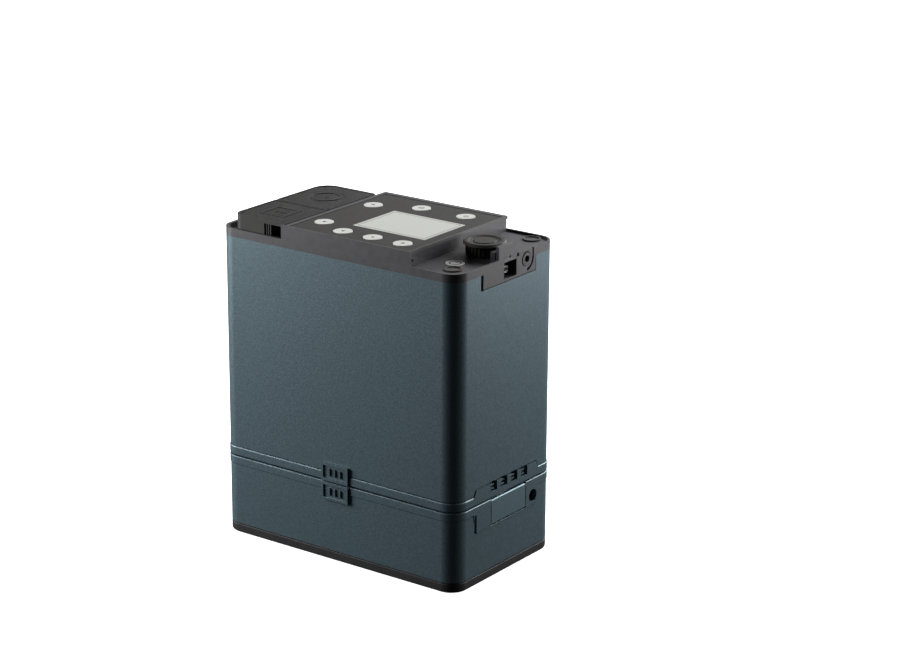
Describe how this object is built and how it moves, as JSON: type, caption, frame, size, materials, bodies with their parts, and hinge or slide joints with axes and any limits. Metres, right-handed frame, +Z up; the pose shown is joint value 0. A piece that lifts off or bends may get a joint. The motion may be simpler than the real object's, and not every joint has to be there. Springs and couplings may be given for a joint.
{
  "type": "flash power pack",
  "caption": "Battery-powered studio flash generator: upright round-cornered metal case, top control panel, two covered head sockets, side connectors and a battery base that unlatches.",
  "frame": {"origin": "centre of the case's footprint, on the surface it stands on", "axes": "+Z up, +X to the right seen from the front (towards the connector side), -Y is the front with the wide face"},
  "size_m": [0.1508, 0.0878, 0.173],
  "materials": {
    "teal_paint": "satin metallic",
    "button_paint": "satin metallic",
    "base_plastic": "satin",
    "rubber": "matt",
    "screw_steel": "plated",
    "case_plastic": "fine texture",
    "cell_metal": "shrink sleeve over metal can",
    "circuit_board": "solder mask",
    "contact_brass": "bright",
    "socket_plastic": "moulded",
    "overlay_film": "satin film",
    "display_glass": "grey reflective display",
    "display_metal": "plated",
    "silicone": "matt",
    "key_white": "satin",
    "dial_black": "soft touch",
    "led_lens": "gloss",
    "cover_rubber": "fine checked texture",
    "capacitor_sleeve": "gloss sleeve",
    "cable_red": "gloss",
    "cable_grey": "satin",
    "core_metal": "varnished",
    "fin_aluminium": "anodised"
  },
  "bodies": {
    "battery": {"battery_shell": "teal_paint", "battery_base": "base_plastic", "rubber_feet": "rubber", "base_screws": "screw_steel", "battery_lid": "case_plastic", "cell_cradle": "case_plastic", "battery_cells": "cell_metal", "cell_links": "screw_steel", "battery_board": "circuit_board", "battery_contacts": "contact_brass", "charge_socket": "socket_plastic", "charge_pin": "contact_brass"},
    "release_latch": {"release_button": "button_paint", "release_hook": "screw_steel", "release_spring": "screw_steel"},
    "main_unit": {"main_shell": "teal_paint", "dock_plate": "case_plastic", "dock_screws": "screw_steel", "dock_contacts": "contact_brass", "latch_catch": "screw_steel", "vent_grilles": "socket_plastic", "top_cover": "case_plastic", "housing_screws": "screw_steel", "screw_plugs": "rubber", "control_overlay": "overlay_film", "display_window": "display_glass", "display_module": "display_metal", "control_board": "circuit_board", "key_mat": "silicone", "dial_encoder": "socket_plastic", "power_switch": "case_plastic", "connector_plate": "case_plastic", "usb_socket": "display_metal", "sync_jack": "socket_plastic", "status_led": "led_lens", "head_socket_a": "socket_plastic", "head_socket_b": "socket_plastic", "head_contacts": "contact_brass", "output_cables": "cable_red", "power_board": "circuit_board", "flash_capacitors": "capacitor_sleeve", "capacitor_plate": "case_plastic", "transformer": "core_metal", "heat_sink": "fin_aluminium", "fan_frame": "socket_plastic", "ribbon_cable": "cable_grey"},
    "key_up_a": {"key_up_a": "key_white"},
    "key_down_a": {"key_down_a": "key_white"},
    "key_left": {"key_left": "key_white"},
    "key_enter": {"key_enter": "key_white"},
    "key_right": {"key_right": "key_white"},
    "key_menu": {"key_menu": "key_white"},
    "key_test": {"key_test": "key_white"},
    "power_button": {"power_button": "key_white"},
    "dial": {"dial_cap": "dial_black", "dial_shaft": "screw_steel"},
    "cover_a": {"socket_cover_a": "cover_rubber"},
    "cover_b": {"socket_cover_b": "cover_rubber"},
    "fan_rotor": {"fan_rotor": "socket_plastic"}
  },
  "joints": [
    {"name": "main_unit_lift", "type": "slide", "parent": "battery", "child": "main_unit", "axis": [0, 0, 1], "range_m": [0, 0.03]},
    {"name": "release_press", "type": "slide", "parent": "battery", "child": "release_latch", "axis": [-1, 0, 0], "range_m": [0, 0.002], "stiffness_N_per_m": 2500},
    {"name": "key_up_a_press", "type": "slide", "parent": "main_unit", "child": "key_up_a", "axis": [0, 0, -1], "range_m": [0, 0.0006], "stiffness_N_per_m": 2000},
    {"name": "key_down_a_press", "type": "slide", "parent": "main_unit", "child": "key_down_a", "axis": [0, 0, -1], "range_m": [0, 0.0006], "stiffness_N_per_m": 2000},
    {"name": "key_left_press", "type": "slide", "parent": "main_unit", "child": "key_left", "axis": [0, 0, -1], "range_m": [0, 0.0006], "stiffness_N_per_m": 2000},
    {"name": "key_enter_press", "type": "slide", "parent": "main_unit", "child": "key_enter", "axis": [0, 0, -1], "range_m": [0, 0.0006], "stiffness_N_per_m": 2000},
    {"name": "key_right_press", "type": "slide", "parent": "main_unit", "child": "key_right", "axis": [0, 0, -1], "range_m": [0, 0.0006], "stiffness_N_per_m": 2000},
    {"name": "key_menu_press", "type": "slide", "parent": "main_unit", "child": "key_menu", "axis": [0, 0, -1], "range_m": [0, 0.0006], "stiffness_N_per_m": 2000},
    {"name": "key_test_press", "type": "slide", "parent": "main_unit", "child": "key_test", "axis": [0, 0, -1], "range_m": [0, 0.0006], "stiffness_N_per_m": 2000},
    {"name": "power_press", "type": "slide", "parent": "main_unit", "child": "power_button", "axis": [0, 0, -1], "range_m": [0, 0.0006], "stiffness_N_per_m": 2000},
    {"name": "dial_turn", "type": "hinge", "parent": "main_unit", "child": "dial", "pos_m": [0.06, 0.001, 0.166], "axis": [0, 0, 1], "continuous": true},
    {"name": "cover_a_lift", "type": "slide", "parent": "main_unit", "child": "cover_a", "axis": [0, 0, 1], "range_m": [0, 0.02]},
    {"name": "cover_b_lift", "type": "slide", "parent": "main_unit", "child": "cover_b", "axis": [0, 0, 1], "range_m": [0, 0.02]},
    {"name": "fan_spin", "type": "hinge", "parent": "main_unit", "child": "fan_rotor", "pos_m": [0.062, 0.002, 0.068], "axis": [1, 0, 0], "continuous": true}
  ]
}
